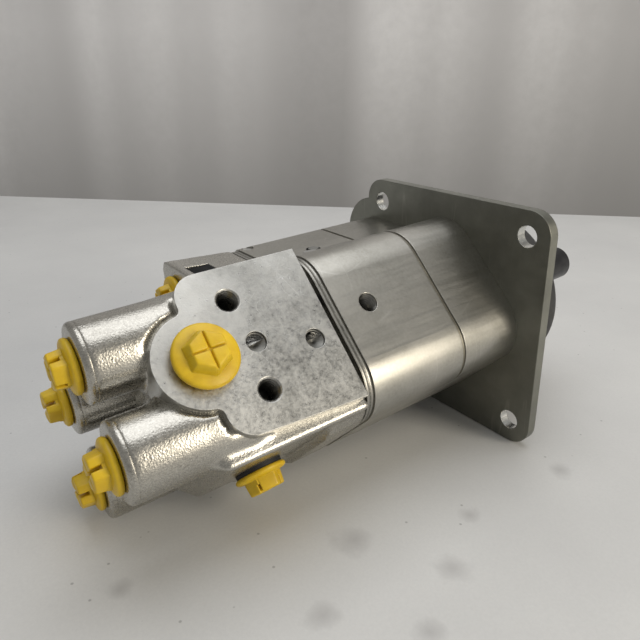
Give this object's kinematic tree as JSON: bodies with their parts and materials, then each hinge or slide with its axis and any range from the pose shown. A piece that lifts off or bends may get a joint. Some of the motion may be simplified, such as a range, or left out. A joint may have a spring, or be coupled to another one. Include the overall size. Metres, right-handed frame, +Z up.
{
  "type": "joystick pilot valve",
  "caption": "Hydraulic joystick pilot valve: square mounting plate with a lever and a rubber boot above, bolted housings below, and a cast manifold with plugged ports.",
  "frame": {"origin": "centre of the mounting plate's underside", "axes": "+Z up the lever, X and Y along the plate's sides, the side lobe towards -X; the housings are turned 45 degrees about Z and their machined port pad faces (+X, -Y)"},
  "size_m": [0.1225, 0.106, 0.2639],
  "materials": {
    "plate": "dull olive zinc plating",
    "housing": "satin, brushed along Z, nickel plated",
    "casting": "shot blasted and plated, with machined faces",
    "seal_plate": "satin",
    "gasket": "matte",
    "fastener_steel": "zinc plated",
    "fastener_black": "black oxide",
    "bronze": "machined",
    "joint_steel": "machined",
    "ground_steel": "ground",
    "spring_steel": "drawn",
    "lever_black": "black oxide, satin",
    "ring_black": "black, satin",
    "rubber_black": "matte",
    "plug_yellow": "moulded polyethylene"
  },
  "bodies": {
    "housing": {"mounting_plate": "plate", "head_body": "housing", "head_seal": "gasket", "spool_body": "housing", "port_seal": "seal_plate", "port_manifold": "casting", "drilling_plugs": "fastener_steel", "tie_bolts": "fastener_black", "plunger_bushes": "bronze", "wiper_seals": "rubber_black", "pivot_base": "joint_steel", "boot": "rubber_black", "boot_ring": "ring_black", "ring_screws": "fastener_steel", "tank_port_plug": "plug_yellow", "pressure_port_plug": "plug_yellow", "pressure_port_washer": "rubber_black", "lobe_port_plug": "plug_yellow", "work_port_plug_1": "plug_yellow", "work_port_plug_2": "plug_yellow", "work_port_plug_3": "plug_yellow", "work_port_plug_4": "plug_yellow", "return_spring_east": "spring_steel", "return_spring_north": "spring_steel", "return_spring_west": "spring_steel", "return_spring_south": "spring_steel", "metering_spring_east": "spring_steel", "metering_spring_north": "spring_steel", "metering_spring_west": "spring_steel", "metering_spring_south": "spring_steel"},
    "cross": {"cross_pin": "ground_steel", "cross_block": "joint_steel", "stub_pins": "ground_steel"},
    "lever": {"lever_yoke": "joint_steel", "cam_disc": "joint_steel", "lock_nut": "fastener_steel", "lever_stub": "lever_black", "handle_coupling": "lever_black"},
    "plunger_east": {"plunger_east": "ground_steel", "spring_seat_east": "joint_steel"},
    "spool_east": {"spool_east": "ground_steel"},
    "plunger_north": {"plunger_north": "ground_steel", "spring_seat_north": "joint_steel"},
    "spool_north": {"spool_north": "ground_steel"},
    "plunger_west": {"plunger_west": "ground_steel", "spring_seat_west": "joint_steel"},
    "spool_west": {"spool_west": "ground_steel"},
    "plunger_south": {"plunger_south": "ground_steel", "spring_seat_south": "joint_steel"},
    "spool_south": {"spool_south": "ground_steel"}
  },
  "joints": [
    {"name": "tilt_x", "type": "hinge", "parent": "housing", "child": "cross", "pos_m": [0, 0, 0.021], "axis": [1, 0, 0], "range_deg": [-19, 19], "stiffness_Nm_per_rad": 3, "deforming": ["boot"]},
    {"name": "tilt_y", "type": "hinge", "parent": "cross", "child": "lever", "pos_m": [0, 0, 0.021], "axis": [0, 1, 0], "range_deg": [-19, 19], "stiffness_Nm_per_rad": 3, "deforming": ["boot"]},
    {"name": "plunger_slide_east", "type": "slide", "parent": "housing", "child": "plunger_east", "axis": [0, 0, 1], "range_m": [-0.0078, 0.0078], "deforming": ["return_spring_east", "metering_spring_east"]},
    {"name": "spool_slide_east", "type": "slide", "parent": "housing", "child": "spool_east", "axis": [0, 0, 1], "range_m": [-0.0016, 0.0016]},
    {"name": "plunger_slide_north", "type": "slide", "parent": "housing", "child": "plunger_north", "axis": [0, 0, 1], "range_m": [-0.0078, 0.0078], "deforming": ["return_spring_north", "metering_spring_north"]},
    {"name": "spool_slide_north", "type": "slide", "parent": "housing", "child": "spool_north", "axis": [0, 0, 1], "range_m": [-0.0016, 0.0016]},
    {"name": "plunger_slide_west", "type": "slide", "parent": "housing", "child": "plunger_west", "axis": [0, 0, 1], "range_m": [-0.0078, 0.0078], "deforming": ["return_spring_west", "metering_spring_west"]},
    {"name": "spool_slide_west", "type": "slide", "parent": "housing", "child": "spool_west", "axis": [0, 0, 1], "range_m": [-0.0016, 0.0016]},
    {"name": "plunger_slide_south", "type": "slide", "parent": "housing", "child": "plunger_south", "axis": [0, 0, 1], "range_m": [-0.0078, 0.0078], "deforming": ["return_spring_south", "metering_spring_south"]},
    {"name": "spool_slide_south", "type": "slide", "parent": "housing", "child": "spool_south", "axis": [0, 0, 1], "range_m": [-0.0016, 0.0016]}
  ],
  "couplings": [
    {"joint": "plunger_slide_east", "follows": "tilt_y", "m_per_rad": -0.023518},
    {"joint": "spool_slide_east", "follows": "tilt_y", "m_per_rad": -0.0048219},
    {"joint": "plunger_slide_north", "follows": "tilt_x", "m_per_rad": 0.023518},
    {"joint": "spool_slide_north", "follows": "tilt_x", "m_per_rad": 0.0048219},
    {"joint": "plunger_slide_west", "follows": "tilt_y", "m_per_rad": 0.023518},
    {"joint": "spool_slide_west", "follows": "tilt_y", "m_per_rad": 0.0048219},
    {"joint": "plunger_slide_south", "follows": "tilt_x", "m_per_rad": -0.023518},
    {"joint": "spool_slide_south", "follows": "tilt_x", "m_per_rad": -0.0048219}
  ]
}
